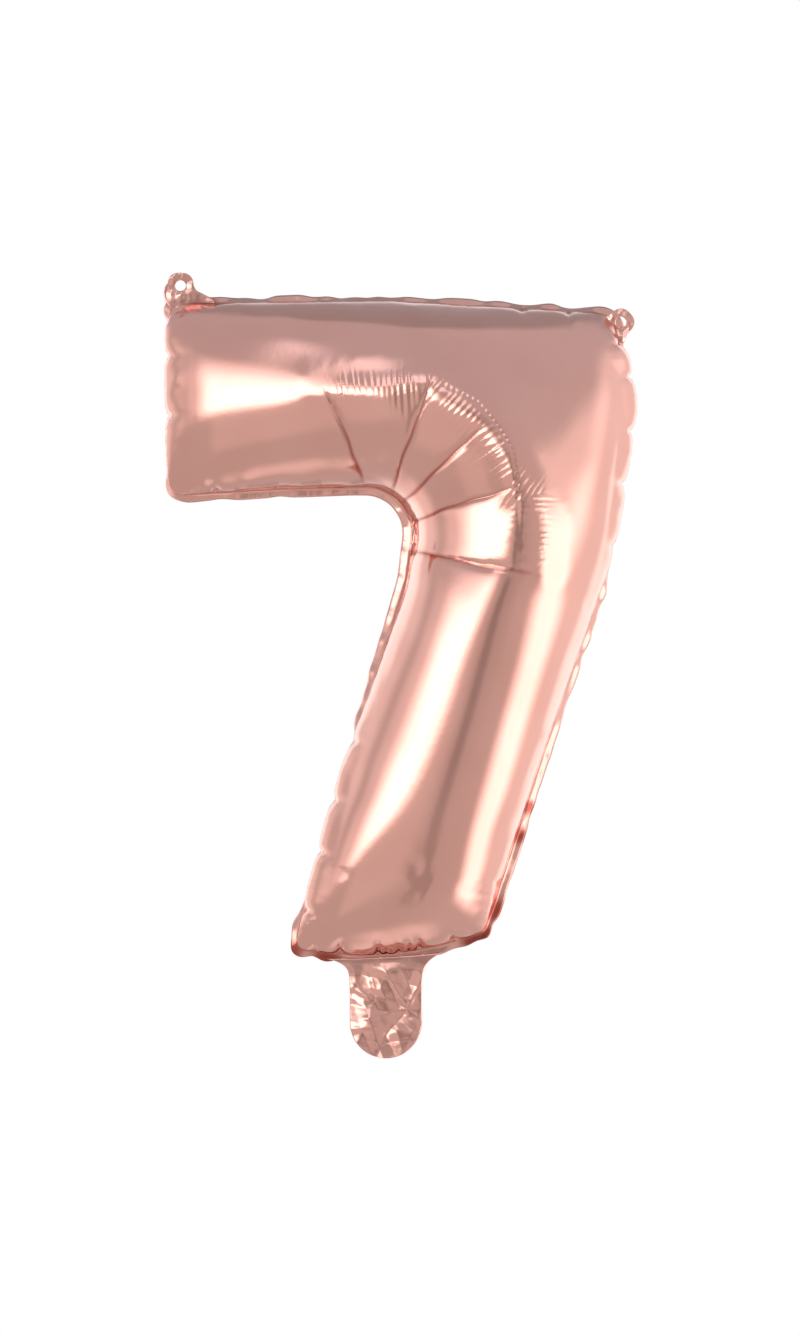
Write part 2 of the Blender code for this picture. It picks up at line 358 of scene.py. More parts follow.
def flat_film(outline):
    """A flat film as points and triangles, finest where it will ripple and crease."""
    weld = spaced(outline, SEAM_SPACING)
    close = spaced(outline, SEAM_SPACING / 4)
    ridge = path_points(FLAT_RIDGE, 1.0)
    chosen = []
    for level, spacing in enumerate((RIPPLE_SPACING, CREASE_SPACING, SEAM_SPACING, OPEN_SPACING)):
        points = lattice(weld, spacing)
        gap = distance_to(points, close)
        from_ridge = distance_to(points, ridge)
        in_crook = np.linalg.norm(points - np.array(CROOK_HEART), axis=1) < CROOK_REACH
        zone = np.where(from_ridge < 9, 0, np.where(in_crook, 1, np.where(gap < SEAM_BAND, 2, 3)))
        clear_of_weld = 0.62 * max(spacing, SEAM_SPACING * 0.7)
        chosen.append(points[(zone == level) & (gap > clear_of_weld)])
    inner = np.vstack(chosen)
    inner += np.random.default_rng(3).normal(0, 0.05 * RIPPLE_SPACING, inner.shape)
    everything = [Vector(p) for p in np.vstack([weld, inner])]
    edges = [(i, (i + 1) % len(weld)) for i in range(len(weld))]
    made = delaunay_2d_cdt(everything, edges, [list(range(len(weld)))], 1, 1e-6)
    points = np.array([tuple(p) for p in made[0]])
    triangles = np.array(made[2])
    a, b, c = (points[triangles[:, k]] for k in range(3))
    turned = (b[:, 0] - a[:, 0]) * (c[:, 1] - a[:, 1]) < (b[:, 1] - a[:, 1]) * (c[:, 0] - a[:, 0])
    triangles[turned] = triangles[turned][:, ::-1]
    return points, triangles, len(weld)


film, triangles, weld_count = flat_film(rounded_outline(CUT))
film_count = len(film)
inner_count = film_count - weld_count
START_APART = 0.5
lift = np.full(film_count, START_APART)
lift[:weld_count] = 0

# the front film, the back film on the same weld line, and the flange outside that line
front = np.stack([film[:, 0], -lift, film[:, 1]], axis=1)
back = np.stack([film[weld_count:, 0], lift[weld_count:], film[weld_count:, 1]], axis=1)
back_triangles = np.where(triangles >= weld_count, triangles + inner_count, triangles)[:, ::-1]
weld = film[:weld_count]
along = np.roll(weld, -1, axis=0) - np.roll(weld, 1, axis=0)
along /= np.linalg.norm(along, axis=1)[:, None]
turning = np.sum(weld[:, 0] * np.roll(weld[:, 1], -1) - np.roll(weld[:, 0], -1) * weld[:, 1])
outward = np.stack([along[:, 1], -along[:, 0]], axis=1) * np.sign(turning)
bag = [front, back]
for share in (0.5, 1.0):
    rim = weld + outward * FLANGE * share
    bag.append(np.stack([rim[:, 0], np.zeros(weld_count), rim[:, 1]], axis=1))
film_total = film_count + inner_count
bag = np.vstack(bag)
flange = []
for ring in range(2):
    near = 0 if ring == 0 else film_total
    far = film_total + ring * weld_count
    for i in range(weld_count):
        j = (i + 1) % weld_count
        flange.append((near + i, near + j, far + j, far + i))

bag_mesh = bpy.data.meshes.new("bag")
faces = triangles.tolist() + back_triangles.tolist() + flange
bag_mesh.from_pydata((bag * MM * SIM_SCALE).tolist(), [], faces)
bag_object = bpy.data.objects.new("bag", bag_mesh)
scene.collection.objects.link(bag_object)
filled_group = bag_object.vertex_groups.new(name="filled")
filled_group.add(list(range(film_total)), 1.0, "REPLACE")
cloth = bag_object.modifiers.new("cloth", "CLOTH")
settings = cloth.settings
settings.quality = 8
settings.mass = 0.1
settings.air_damping = 3.0
settings.tension_stiffness = settings.compression_stiffness = settings.shear_stiffness = 60
settings.tension_damping = settings.compression_damping = settings.shear_damping = 25
settings.bending_stiffness = 0.3
settings.bending_damping = 0.5
settings.use_pressure = True
settings.uniform_pressure_force = 10
settings.vertex_group_pressure = "filled"
settings.effector_weights.gravity = 0
cloth.collision_settings.use_collision = False
cloth.point_cache.frame_start = 1
cloth.point_cache.frame_end = SIM_FRAMES
scene.frame_start, scene.frame_end = 1, SIM_FRAMES
for step in range(1, SIM_FRAMES + 1):
    scene.frame_set(step)
evaluated = bag_object.evaluated_get(bpy.context.evaluated_depsgraph_get())
shape = np.empty(len(bag) * 3, np.float32)
evaluated.data.vertices.foreach_get("co", shape)
shape = shape.reshape(-1, 3).astype(float) / MM / SIM_SCALE
bpy.data.objects.remove(bag_object)
scene.frame_set(1)

corner_places = np.array([c[:2] for c in CUT])
corner_index = [int(np.argmin(np.linalg.norm(weld - c, axis=1))) for c in corner_places]
wanted = np.array([(x, 0, z) for x, z, _ in FILLED], float)


def sides_of(triangles):
    """The three sides of every triangle, as pairs of points."""
    return np.vstack([triangles[:, [0, 1]], triangles[:, [1, 2]], triangles[:, [2, 0]]])


def laid_over(points, found, target):
    """Points moved and turned so that found lies over target as closely as it can."""
    middle, goal = found.mean(axis=0), target.mean(axis=0)
    u, _, vt = np.linalg.svd((found - middle).T @ (target - goal))
    flip = np.diag([1, 1, np.sign(np.linalg.det(vt.T @ u.T))])
    turn = vt.T @ flip @ u.T
    return (points - middle) @ turn.T + goal


shape = laid_over(shape, shape[corner_index], wanted)


def ease(value, low, high):
    """0 below low, 1 above high and a soft step between them, for numbers."""
    share = np.clip((value - low) / (high - low), 0, 1)
    return share * share * (3 - 2 * share)


def step_towards_mean(values, edges, count, free, share):
    """The step that takes each free point a share of the way to its neighbours' mean."""
    total = np.zeros_like(values)
    for axis in range(values.shape[1]):
        for one, other in ((0, 1), (1, 0)):
            total[:, axis] += np.bincount(edges[:, one], values[edges[:, other], axis], len(values))
    return share * free[:, None] * (total / count[:, None] - values)


# the two films are alike, so their mean is the balloon's shape without the chance in it
mirror = np.arange(film_count)
mirror[weld_count:] += inner_count
half = (shape[:film_count] + shape[mirror] * (1, -1, 1)) / 2
half[:weld_count, 1] = 0
edges = np.unique(np.sort(sides_of(triangles), axis=1), axis=0)
count = np.bincount(edges.ravel(), minlength=film_count)
free = np.arange(film_count) >= weld_count

# the weld line goes where the finished outline has it, and the film follows it
MOVE_ROUNDS = 600
SMOOTH_ROUNDS = 60
goal = rounded_outline(FILLED)
loop = np.vstack([goal, goal[:1]])
goal_at = run_along(loop)
goal_stop = [goal_at[np.argmin(np.linalg.norm(goal - c[:2], axis=1))] for c in FILLED]
cut_stop = np.array(corner_index, float)
first = int(np.argmin(cut_stop))
cut_stop = np.roll(cut_stop, -first)
goal_stop = np.roll(goal_stop, -first)
goal_stop = goal_stop + goal_at[-1] * (np.arange(len(goal_stop)) > np.argmax(goal_stop))
stops = np.concatenate([cut_stop, [cut_stop[0] + weld_count]])
marks = np.concatenate([goal_stop, [goal_stop[0] + goal_at[-1]]])
weld_index = (np.arange(weld_count) - stops[0]) % weld_count + stops[0]
weld_places = np.interp(weld_index, stops, marks) % goal_at[-1]
finished_weld = np.stack([np.interp(weld_places, goal_at, loop[:, k]) for k in (0, 1)], axis=1)
move = np.zeros((film_count, 2))
move[:weld_count] = finished_weld - half[:weld_count, [0, 2]]
for _ in range(MOVE_ROUNDS):
    move = move + step_towards_mean(move, edges, count, free, 1.0)
half[:, [0, 2]] += move

# a step in and a slightly longer one out again smooth the film without shrinking it
for _ in range(SMOOTH_ROUNDS):
    half += step_towards_mean(half, edges, count, free, 0.55)
    half += step_towards_mean(half, edges, count, free, -0.57)

# inside the ridge the film is a round tube that bends about the crook, gathered and not sunken:
# it runs from the seam to the ridge, measured from the bend's centre, and on into bar and leg
BEND_CENTRE = (95.0, -127.0)
BEND_RADIUS = 25.0
TUBE_REACH = 57.0
TUBE_DEPTH = 50.0
BAR_SEAM = 23.2
BAR_RIDGE = 71.0
BAR_SHALLOWER = 13.0
LEG_TURN = 17.7
LEG_SEAM = 26.5
LEG_RIDGE = 75.5
LEG_SHALLOWER = 5.0

from_bend = half[:, [0, 2]] - np.array(BEND_CENTRE)
radius = np.linalg.norm(from_bend, axis=1)
turn = np.degrees(np.arctan2(from_bend[:, 1], from_bend[:, 0]))
into_bar = ease(turn, 88, 128)
slope = np.maximum(np.sin(np.radians(turn)), 0.3)
tube_start = BEND_RADIUS + into_bar * (BAR_SEAM / slope - BEND_RADIUS)
tube_ridge = BEND_RADIUS + TUBE_REACH
tube_ridge = tube_ridge + into_bar * (BAR_RIDGE / slope - tube_ridge)
into_leg = ease(-turn, LEG_TURN, 50)
slope = np.maximum(np.cos(np.radians(turn + LEG_TURN)), 0.3)
tube_start = tube_start + into_leg * (LEG_SEAM / slope - tube_start)
tube_ridge = tube_ridge + into_leg * (LEG_RIDGE / slope - tube_ridge)
across_tube = np.clip((radius - tube_start) / (tube_ridge - tube_start), 0, 1)
tube_depth = TUBE_DEPTH - ease(turn, 78, 122) * BAR_SHALLOWER - ease(-turn, 10, 70) * LEG_SHALLOWER
tube = tube_depth * np.sqrt(1 - (1 - across_tube) ** 2)
share = ease(turn, -64, -24) * (1 - ease(turn, 98, 132)) * (1 - ease(across_tube, 0.65, 1.0))
share[:weld_count] = 0
half[:, 1] += share * (-tube - half[:, 1])


def loop_divided(points, triangles):
    """One round of Loop subdivision: every triangle becomes four on a smoother film."""
    facing = np.concatenate([triangles[:, 2], triangles[:, 0], triangles[:, 1]])
    sides = np.sort(sides_of(triangles), axis=1)
    edges, edge_of = np.unique(sides, axis=0, return_inverse=True)
    edge_of = edge_of.ravel()
    on_rim = np.bincount(edge_of) == 1
    across = np.zeros((len(edges), points.shape[1]))
    np.add.at(across, edge_of, points[facing])
    ends = points[edges].sum(axis=1)
    middles = np.where(on_rim[:, None], ends / 2, ends * 3 / 8 + across / 8)
    moved = np.empty_like(points)
    for chosen, own in ((np.ones(len(edges), bool), 5 / 8), (on_rim, 3 / 4)):
        around = np.zeros_like(points)
        for one, other in ((0, 1), (1, 0)):
            np.add.at(around, edges[chosen, one], points[edges[chosen, other]])
        count = np.bincount(edges[chosen].ravel(), minlength=len(points))
        touched = count > 0
        mean = around[touched] / count[touched, None]
        moved[touched] = own * points[touched] + (1 - own) * mean
    m = edge_of.reshape(3, -1).T + len(points)
    a, b, c = triangles.T
    parts = [(a, m[:, 0], m[:, 2]), (b, m[:, 1], m[:, 0]), (c, m[:, 2], m[:, 1]), m.T]
    smaller = np.vstack([np.stack(part, axis=1) for part in parts])
    return np.vstack([moved, middles]), smaller


def mesh_object(name, points, faces, material):
    """A mesh in millimetres, shaded smooth, with its place in its points."""
    data = bpy.data.meshes.new(name)
    data.from_pydata((np.asarray(points) * MM).tolist(), [], np.asarray(faces).tolist())
    data.materials.append(material)
    data.shade_smooth()
    thing = bpy.data.objects.new(name, data)
    scene.collection.objects.link(thing)
    return thing


def thickened(thing, thickness, offset):
    """Give a sheet its thickness and make that part of the mesh."""
    wall = thing.modifiers.new("wall", "SOLIDIFY")
    wall.thickness = thickness * MM
    wall.offset = offset
    evaluated = thing.evaluated_get(bpy.context.evaluated_depsgraph_get())
    data = bpy.data.meshes.new_from_object(evaluated)
    thing.modifiers.clear()
    thing.data = data


def foil_material():
    """Rose-tinted lacquer over vapour-coated aluminium on a clear film, with fine wrinkles and painted
    dark-red shade in its folds.
    """
    made = bpy.data.materials.new("rose_gold_foil")
    tree = Tree(made)
    shader = tree.tree.nodes["Principled BSDF"]
    place = tree.node("ShaderNodeTexCoord", output="Object")
    cloud = tree.node("ShaderNodeTexNoise", {"Vector": place, "Scale": 24.0, "Detail": 3.0})
    fine = tree.node("ShaderNodeTexNoise", {"Vector": place, "Scale": 310.0, "Detail": 2.0})
    grain = tree.node("ShaderNodeTexNoise", {"Vector": place, "Scale": 1900.0, "Detail": 1.0})
    lacquer_and_fold_shade = tree.mix(cloud.smooth(0.32, 0.68), (0.80, 0.405, 0.335, 1), (0.83, 0.43, 0.36, 1))
    # painted shade: in creases and folds the lacquer turns dark red and loses its coat's gloss
    fold_shade = tree.node("ShaderNodeAttribute", output="Fac", attribute_name="fold_painted_shade")
    lacquer_and_fold_shade = tree.mix(fold_shade, lacquer_and_fold_shade, (0.40, 0.085, 0.06, 1))
    gloss = 0.5 - 0.42 * fold_shade
    roughness = 0.095 + 0.03 * cloud + 0.02 * grain
    wrinkles = fine * 0.8 + grain * 0.2
    bump = tree.node("ShaderNodeBump", {"Height": wrinkles, "Strength": 0.05, "Distance": 0.0004})
    looks = {"Base Color": lacquer_and_fold_shade, "Roughness": roughness, "Normal": bump, "Coat Weight": gloss}
    for socket, value in looks.items():
        tree.tree.links.new(value.socket, shader.inputs[socket])
    shader.inputs["Metallic"].default_value = 1.0
    shader.inputs["Coat Roughness"].default_value = 0.05
    return made


# creases of the crook's inner side: x, z at the ridge, x, z at the weld, and their depth
CREASES = [
    (75, -55, 92, -97, 0.6), (129, -48, 109, -102, 1.3), (154, -74, 116, -109, 1.4),
    (169, -105, 121, -119.5, 1.4), (182, -149, 122, -137, 1.0),
]
# the crook's ridge on the filled balloon, and the length of the ripples that cross it
RIDGE = [(73, -53), (100, -49.5), (128.5, -48), (155, -72.5), (171, -97), (184.5, -106), (185, -151)]
RIPPLE_LENGTH = 3.0
PATH_STEP = 0.5
# the dotted pinch line just inside the ripples
PINCH = [(134, -54), (150, -62), (160.5, -74.5), (168, -87), (170.5, -104), (171.5, -154)]
# the seam's stops, clockwise from the top left: x, z, how many degrees the flange leans back,
# and how far the film swells out over it
SEAM_STOPS = [
    (-5.5, -22, 78, 3.6), (-1, -9.5, 5, 0.2), (12, -9, 10, 0.3), (30, -9, 52, 0.8),
    (60, -9, 35, 0.6), (104, -9, 55, 0.8), (150, -10.5, 30, 0.8), (200, -13.5, 62, 1.0),
    (221, -17, 5, 0.2), (227, -38, 76, 4.6), (229.5, -58.5, 80, 4.2), (225, -110, 78, 3.6),
    (213, -158, 50, 1.0), (184, -240, 35, 0.4), (162, -308, 14, 0.8), (158, -322, 8, 0.8),
    (155, -330, 6, 0.9), (142, -337.5, 14, 0.9), (132, -340, 4, 1.3), (78, -342, 4, 1.3),
    (68, -340.5, 14, 0.9), (57.5, -338, 10, 0.8), (60, -326, 38, 1.6), (65, -312, 66, 2.6),
    (72, -288, 78, 3.6), (84, -247, 78, 3.6), (95, -208, 45, 1.0), (112, -161, 20, 0.2),
    (119, -130, 15, 0.1), (113.5, -109, 15, 0.1), (95, -102, 20, 0.2), (40, -104, 22, 0.3),
    (15, -105.5, 45, 1.0), (-2, -107, 30, 1.8), (-5, -92, 78, 3.6),
]
# where the seam is drawn in between its lobes, with how deep and how wide
PUCKERS = [
    (-4.5, -36, 1.6, 2.5), (-4.5, -66.5, 1.6, 2.5), (15, -9, 0.9, 3.0), (174, -11, 1.2, 3.0),
    (198, -13.5, 1.2, 2.5), (224, -30, 1.4, 2.5), (226, -47, 1.8, 2.0), (225, -73.5, 1.7, 2.5),
    (221, -100.5, 1.7, 2.5), (215, -132, 1.1, 3.0), (52, -105, 0.9, 2.5), (18, -106, 1.2, 2.5),
    (90, -232, 1.3, 2.5), (80, -262, 1.5, 2.5), (72, -288, 1.8, 2.5), (62, -318, 1.6, 2.5),
    (81, -342, 1.5, 2.0), (101, -344, 1.3, 1.6), (105, -344, 0.8, 1.2), (112, -343, 1.2, 1.4),
    (117, -342, 0.9, 1.2), (123, -341, 1.3, 1.6), (140, -337, 1.4, 2.0), (68, -340, 1.0, 2.0),
    (162, -305, 1.0, 2.5),
]


def normals_of(points, triangles):
    """The film's outward direction at each point."""
    a, b, c = (points[triangles[:, k], :3] for k in range(3))
    facing = np.cross(b - a, c - a)
    total = np.stack([sum(np.bincount(triangles[:, k], facing[:, axis], len(points))
                          for k in range(3)) for axis in range(3)], axis=1)
    return total / np.linalg.norm(total, axis=1)[:, None]


def wave(places, seed, longest, shortest, parts=6):
    """A seeded uneven wave along a line, between about -1 and 1."""
    random = np.random.default_rng(seed)
    total = np.zeros(len(places))
    for length in np.geomspace(longest, shortest, parts):
        length *= random.uniform(0.85, 1.15)
        total += np.sin(2 * math.pi * (places / length + random.uniform())) / parts ** 0.5
    return total * 0.8


def along_line(points, start, end):
    """How far each point lies along a line, as a share of it, and how far to its side."""
    start, end = np.array(start, float), np.array(end, float)
    length = np.linalg.norm(end - start)
    run = (end - start) / length
    share = (points - start) @ run / length
    aside = (points - start) @ np.array((-run[1], run[0]))
    return share, aside


def crumpled(points, seed, size, parts=9):
    """The height of a sheet creased into flat facets, about 1 high for a size of 10."""
    random = np.random.default_rng(seed)
    height = np.zeros(len(points))
    for length in np.geomspace(size * 2.2, size * 0.45, parts):
        turn = random.uniform(0, math.pi)
        along = points @ np.array((math.cos(turn), math.sin(turn))) / length + random.uniform()
        height += length * (np.abs(along % 1 - 0.5) * 2 - 0.5)
    return height * 0.1 / parts ** 0.5


def crease_height(place, seed):
    """The sharp valleys between the crook's gathers, and how much painted shade each point gets in a fold.
    """
    height = np.zeros(len(place))
    fold_shade = np.zeros(len(place))
    for index, (x0, z0, x1, z1, depth) in enumerate(CREASES):
        share, aside = along_line(place, (x0, z0), (x1, z1))
        aside = aside + 0.5 * wave(share * 40, seed + index, 40, 15, 3)
        length = math.hypot(x1 - x0, z1 - z0)
        fade = ease(share, -0.02, 0.45) * (1 - ease(share, 0.5, 0.9))
        sharp = ease(share, -0.05, 0.15) * (1 - ease(share, 1.0, 1.1))
        height -= depth * fade * np.exp(-np.abs(aside) / (0.05 * length + 1.2))
        height -= 0.55 * sharp * np.exp(-np.abs(aside) / 0.9)
        thin = 0.35 + 0.35 * ease(share, 0.2, 0.9)
        # how much painted shade darkens the crease valley, more towards the weld
        crease_shade = sharp * (0.45 + 0.5 * ease(share, 0.1, 0.7))
        fold_shade = np.maximum(fold_shade, crease_shade * np.exp(-(aside / (thin + 0.2)) ** 2))
    return height, fold_shade


# short folds near the leg's foot: start, end, depth and how wide they spread
FOOT_CREASES = [
    (73, -294, 88, -299.5, 0.45, 1.3), (76, -298, 86, -301, 0.3, 0.8),
    (163, -312, 140, -306, 0.45, 1.3), (162, -308, 145, -303, 0.25, 0.8),
    (66, -330, 82, -322, 0.3, 2.5), (152, -331, 140, -322, 0.35, 3.0), (81, -341, 83, -331, 0.4, 1.2),
    (101, -343, 100, -330, 0.5, 1.3), (140, -336, 136, -326, 0.3, 1.5), (106, -343, 108, -333, 0.3, 0.9),
    (112, -342, 115, -332, 0.35, 1.0), (118, -341, 122, -331, 0.3, 0.9), (125, -340, 128, -334, 0.25, 0.8),
    (206, -162, 211, -173, 0.3, 1.2), (15, -100, 17, -88, 0.5, 1.4),
]
# rows of short ripples along an edge: start, end, reach to its sides, pitch and depth
EDGE_RIPPLES = [
    (74, -296, 63, -327, 5.0, 3.1, 0.07), (219, -27, 221, -50, 5.0, 2.6, 0.05),
    (104, -106, 110, -112, 3.5, 2.2, 0.05), (120, -128, 117, -150, 5.0, 2.6, 0.05),
]


def foot_and_edge_height(place):
    """Small folds and ripples where the film is gathered at its edges and the leg's foot."""
    height = np.zeros(len(place))
    for x0, z0, x1, z1, depth, spread in FOOT_CREASES:
        share, aside = along_line(place, (x0, z0), (x1, z1))
        held = ease(share, -0.3, 0.15) * (1 - ease(share, 0.5, 1.15))
        height -= depth * held * np.exp(-np.abs(aside) / spread)
    for x0, z0, x1, z1, reach, pitch, depth in EDGE_RIPPLES:
        share, aside = along_line(place, (x0, z0), (x1, z1))
        run = share * math.hypot(x1 - x0, z1 - z0)
        held = ease(share, -0.05, 0.15) * (1 - ease(share, 0.85, 1.05)) * np.exp(-(aside / reach) ** 4)
        height += depth * held * np.cos(2 * math.pi * run / pitch + 0.6 * np.sin(run / 3.7))
    # the film is a little slack in one patch above the foot
    slack = np.exp(-(np.linalg.norm((place - (120, -301)) / (8, 15), axis=1)) ** 2)
    return height + 0.35 * slack * crumpled(place, 51, 10.0, 5)


def ripple_height(place, seed):
    """The fine ripples that cross the crook's ridge."""
    ridge = path_points(RIDGE, PATH_STEP)
    gaps = np.linalg.norm(place[:, None] - ridge[None], axis=2)
    nearest = gaps.argmin(axis=1)
    gap = gaps.min(axis=1)
    run = np.gradient(ridge, axis=0)[nearest]
    outward = np.stack([-run[:, 1], run[:, 0]], axis=1)
    signed = np.sum((place - ridge[nearest]) * outward, axis=1)
    signed = np.sign(signed) * gap
    at = nearest * PATH_STEP
    reach = 9.0 + 3.0 * wave(at, seed, 26, 5)
    window = np.exp(-((signed + 8.0) / reach) ** 4) * (1 - 0.4 * ease(-signed, 6, 16))
    strength = 0.10 + 0.05 * wave(at, seed + 1, 40, 8)
    ends = ease(at, 0, 8) * (1 - ease(at, at.max() - 8, at.max()))
    phase = at / RIPPLE_LENGTH + 0.25 * wave(at, seed + 2, 25, 7)
    ripples = strength * window * ends * np.cos(2 * math.pi * phase)
    pinch = path_points(PINCH, PATH_STEP)
    gaps = np.linalg.norm(place[:, None] - pinch[None], axis=2)
    dots = 0.6 + 0.4 * np.cos(2 * math.pi * gaps.argmin(axis=1) * PATH_STEP / RIPPLE_LENGTH)
    return ripples - 0.3 * dots * np.exp(-(gaps.min(axis=1) / 0.9) ** 2)


# where the flange is folded over on itself, painted deep red as shade in the fold: x, z and reach
FLANGE_FOLD_SHADE = [
    (57, -339, 6), (74, -343.5, 8), (160, -318, 7), (155, -331, 6), (149, -333, 7),
    (172, -280, 5), (177, -266, 4), (7, -10, 6), (14, -10, 5),
]


def stored(thing, name, values):
    """Keep one number for every point of a mesh."""
    thing.data.attributes.new(name, "FLOAT", "POINT").data.foreach_set("value", values)


def with_nodes(thing, group, inputs):
    """Add a geometry node tree with its named inputs set."""
    modifier = thing.modifiers.new(group.name, "NODES")
    modifier.node_group = group
    for item in group.interface.items_tree:
        if item.name in inputs:
            modifier[item.identifier] = inputs[item.name]


# the heat-sealing bar leaves fine crimps across the flange, and the slack film crinkles: how long
# a crinkle is and the crimps' pitch in millimetres along the seam, and their depth in metres
CRIMP_SIZES = {"Crinkle": 14.0, "Crimp": 2.4, "Depth": 0.0008}
flange_crimps = bpy.data.node_groups.new("flange_crimps", "GeometryNodeTree")
flange_crimps.interface.new_socket("Geometry", in_out="INPUT", socket_type="NodeSocketGeometry")
for name, value in CRIMP_SIZES.items():
    size = flange_crimps.interface.new_socket(name, in_out="INPUT", socket_type="NodeSocketFloat")
    size.default_value = value
flange_crimps.interface.new_socket("Foil", in_out="INPUT", socket_type="NodeSocketMaterial")
flange_crimps.interface.new_socket("Geometry", in_out="OUTPUT", socket_type="NodeSocketGeometry")
crimps = Tree(flange_crimps)
sheet_in = crimps.node("NodeGroupInput")
run = crimps.node("GeometryNodeInputNamedAttribute", {"Name": "seam_run"})
edge = crimps.node("GeometryNodeInputNamedAttribute", {"Name": "free_edge"})
crinkle_at = run / sheet_in.output("Crinkle") + 7.3
crinkle = crimps.node(
    "ShaderNodeTexNoise", {"W": crinkle_at, "Scale": 1.0, "Detail": 2.0}, noise_dimensions="1D")
crimp = (run / sheet_in.output("Crimp") * (2 * math.pi)).math("SINE")
lifted = (crinkle - 0.5) * 2.2 + crimp * 0.11
offset = crimps.node("ShaderNodeCombineXYZ", {"Y": lifted * sheet_in.output("Depth") * edge})
moved_sheet = crimps.node("GeometryNodeSetPosition", {"Geometry": sheet_in, "Offset": offset})
real_sheet = crimps.node("GeometryNodeRealizeInstances", {"Geometry": moved_sheet})
foil_sheet = crimps.node(
    "GeometryNodeSetMaterial", {"Geometry": real_sheet, "Material": sheet_in.output("Foil")})
crimps.node("NodeGroupOutput", {"Geometry": foil_sheet}, output=None)

foil = foil_material()
WELD_STEP = 0.7
weld_fine = spaced(goal, WELD_STEP)
fine_run = np.roll(weld_fine, -6, axis=0) - np.roll(weld_fine, 6, axis=0)
fine_run /= np.linalg.norm(fine_run, axis=1)[:, None]
fine_away = np.stack([fine_run[:, 1], -fine_run[:, 0]], axis=1) * np.sign(turning)
seam_length = WELD_STEP * len(weld_fine)


def seam_place(x, z):
    """How far along the weld line its nearest point to a place lies."""
    return WELD_STEP * float(np.argmin(np.linalg.norm(weld_fine - (x, z), axis=1)))


def round_seam(at, stops, values):
    """Values given at stops on the seam, with straight lines between them all the way round."""
    order = np.argsort(stops)
    stops, values = np.array(stops)[order], np.array(values)[order]
    stops = np.concatenate([[stops[-1] - seam_length], stops, [stops[0] + seam_length]])
    values = np.concatenate([[values[-1]], values, [values[0]]])
    return np.interp(at, stops, values)


# the flange leans back from the weld line, and is gathered in where the seam puckers
CORNER_GATHERS = [(55, -331, 2, 3), (67, -341, 2, 3), (157, -325, 2, 3), (150, -334, 2, 3)]
GATHERED = 0.32
GATHER_REACH = 2.6
seam_at = [seam_place(x, z) for x, z, _, _ in SEAM_STOPS]
rim_at = np.array([seam_place(x, z) for x, _, z in half[:weld_count]])
lean_back = round_seam(rim_at, seam_at, [stop[2] for stop in SEAM_STOPS])
lean_back = np.radians(np.clip(lean_back * (1 + 0.35 * wave(rim_at, 5, 60, 12)), -60, 84))
rim_out = fine_away[np.round(rim_at / WELD_STEP).astype(int) % len(weld_fine)]
upright = np.cos(lean_back)
away = np.stack([rim_out[:, 0] * upright, np.sin(lean_back), rim_out[:, 1] * upright], axis=1)
for x, z, depth, _ in PUCKERS + CORNER_GATHERS:
    from_pucker = np.abs(rim_at - seam_place(x, z)) / GATHER_REACH
    away *= (1 - GATHERED * min(depth, 1.6) * np.exp(-from_pucker ** 2))[:, None]
rim = half[:weld_count]

# every point also carries its distance from the weld line, below zero on the flange
gap_from_weld = distance_to(film, spaced(rounded_outline(CUT), 0.8))
gap_from_weld[:weld_count] = 0
extra = np.concatenate([gap_from_weld, np.full(weld_count, -FLANGE / 2), np.full(weld_count, -FLANGE)])
ring = np.arange(weld_count)
after = np.roll(ring, -1)
flat_part = []
for near, far in ((0, film_count), (film_count, film_count + weld_count)):
    flat_part.append(np.stack([near + ring, near + after, far + after], axis=1))
    flat_part.append(np.stack([near + ring, far + after, far + ring], axis=1))
flat_part = np.vstack(flat_part)
pucker_at = [seam_place(x, z) for x, z, _, _ in PUCKERS]

